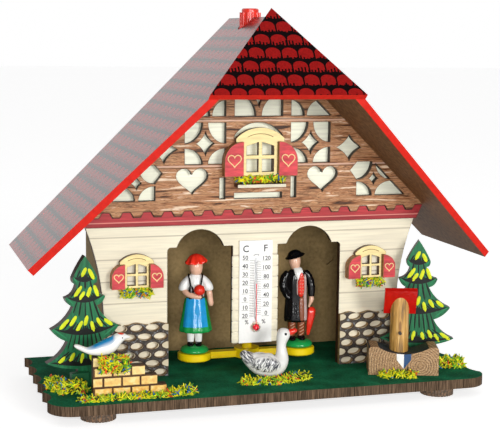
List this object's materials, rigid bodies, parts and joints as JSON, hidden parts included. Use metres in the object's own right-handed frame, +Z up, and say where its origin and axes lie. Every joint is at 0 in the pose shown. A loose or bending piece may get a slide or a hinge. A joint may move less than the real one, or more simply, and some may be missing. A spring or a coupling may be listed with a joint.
{
  "type": "weather house",
  "caption": "Wooden chalet weather house: a turning beam on a gut string swings two figures in and out of arched doorways beside a thermometer.",
  "frame": {"origin": "middle of the standing footprint: centre of the overall box, on the floor under the feet", "axes": "+X along the front to the viewer's right, +Y from the front to the back, +Z up"},
  "size_m": [0.197, 0.087, 0.1608],
  "materials": {
    "flocked_board": "green flocked top, burnt brown edge",
    "foot_wood": "laser-cut, burnt ribbed edge",
    "cream_wood": "pale plywood with burnt board lines",
    "brown_board": "raw brown fibreboard",
    "stone_board": "dark grey print, burnt hole edges",
    "red_band": "red stain, satin",
    "fret_wood": "brown grain print, burnt edges",
    "roof_board": "glossy tile print, red painted edges",
    "block_wood": "raw softwood",
    "scale_plate": "white enamel, black scale",
    "tube_glass": "clear glass",
    "spirit_red": "red liquid",
    "window_wood": "pale yellow stain",
    "shutter_wood": "red stain, engraved outline",
    "dried_flowers": "dyed fibres",
    "tree_wood": "hand-painted, satin",
    "brick_wood": "stained, burnt joints",
    "bird_paint": "hand-painted",
    "goose_paint": "hand-painted",
    "trough_wood": "sawn, dark painted dip",
    "twig_wood": "peeled twig",
    "well_red": "red lacquer",
    "beam_yellow": "moulded",
    "figure_paint": "hand-painted moulding",
    "gut": "twisted gut",
    "brass": "crimped",
    "knob_red": "moulded"
  },
  "bodies": {
    "house": {"base_board": "flocked_board", "feet": "foot_wood", "front_wall": "cream_wood", "left_side_wall": "brown_board", "right_side_wall": "brown_board", "back_wall": "brown_board", "left_plinth": "stone_board", "right_plinth": "stone_board", "eave_band": "red_band", "gable_fretwork": "fret_wood", "left_roof": "roof_board", "right_roof": "roof_board", "hip_roof": "roof_board", "ridge_block": "block_wood", "post_guide": "block_wood", "thermometer_plate": "scale_plate", "thermometer_tube": "tube_glass", "thermometer_liquid": "spirit_red", "gable_window": "window_wood", "gable_shutters": "shutter_wood", "gable_sill": "window_wood", "gable_flowers": "dried_flowers", "left_window": "window_wood", "left_shutters": "shutter_wood", "left_window_flowers": "dried_flowers", "right_window": "window_wood", "right_shutters": "shutter_wood", "right_window_flowers": "dried_flowers", "left_tree": "tree_wood", "left_tree_stand": "tree_wood", "right_tree": "tree_wood", "right_tree_stand": "tree_wood", "brick_wall": "brick_wood", "bird": "bird_paint", "wall_top_flowers": "dried_flowers", "goose": "goose_paint", "goose_grass": "dried_flowers", "well_trough": "trough_wood", "well_post": "twig_wood", "well_spout": "twig_wood", "well_roof": "well_red", "left_grass": "dried_flowers", "wall_grass": "dried_flowers", "well_grass": "dried_flowers", "right_grass": "dried_flowers"},
    "turntable": {"weather_beam": "beam_yellow", "woman_figure": "figure_paint", "man_figure": "figure_paint", "gut_string": "gut", "string_ferrule": "brass", "string_knot": "gut"},
    "knob": {"adjusting_knob": "knob_red", "knob_cap": "knob_red"}
  },
  "joints": [
    {"name": "beam_turn", "type": "hinge", "parent": "house", "child": "turntable", "pos_m": [0, 0.01136, 0.0126], "axis": [0, 0, 1], "range_deg": [-40, 40], "stiffness_Nm_per_rad": 0.0015},
    {"name": "knob_turn", "type": "hinge", "parent": "house", "child": "knob", "pos_m": [0, 0.01136, 0.1495], "axis": [0, 0, 1], "continuous": true}
  ]
}
